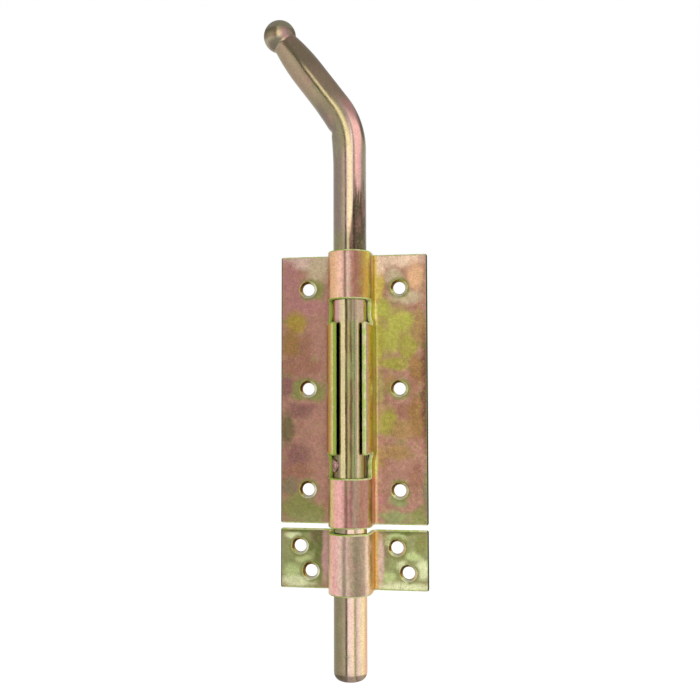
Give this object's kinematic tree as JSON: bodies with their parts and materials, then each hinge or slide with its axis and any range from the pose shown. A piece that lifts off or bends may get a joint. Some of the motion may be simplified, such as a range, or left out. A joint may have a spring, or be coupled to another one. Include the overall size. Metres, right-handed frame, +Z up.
{
  "type": "cane bolt",
  "caption": "Cane bolt: a round bar with a leaning ball-ended handle slides and turns in a slotted guide plate and drops through a separate keeper plate.",
  "frame": {"origin": "middle of the guide plate's six screw holes, on the plane of the gate's face (the back of the plate)", "axes": "+Z up along the bolt bar, from its tip to its handle; +Y into the gate, out of the plates' backs; +X to the right as seen by someone facing the bolt"},
  "size_m": [0.0796, 0.0225, 0.3208],
  "materials": {
    "plated_sheet": "yellow passivated zinc plating, iridescent pink, gold and green",
    "plated_bar": "yellow passivated zinc plating, olive with pink and gold streaks along the bar",
    "plated_stud": "yellow passivated zinc plating, rough"
  },
  "bodies": {
    "guide": {"guide_plate": "plated_sheet", "keeper_plate": "plated_sheet"},
    "shoot": {"bolt_shoot": "plated_bar"},
    "handle": {"bolt_handle": "plated_bar", "stop_stud": "plated_stud"}
  },
  "joints": [
    {"name": "bolt_slide", "type": "slide", "parent": "guide", "child": "shoot", "axis": [0, 0, 1], "range_m": [-0.0025, 0.0755]},
    {"name": "handle_turn", "type": "hinge", "parent": "shoot", "child": "handle", "pos_m": [0, -0.012, 0], "axis": [0, 0, 1], "range_deg": [-15, 127]}
  ]
}
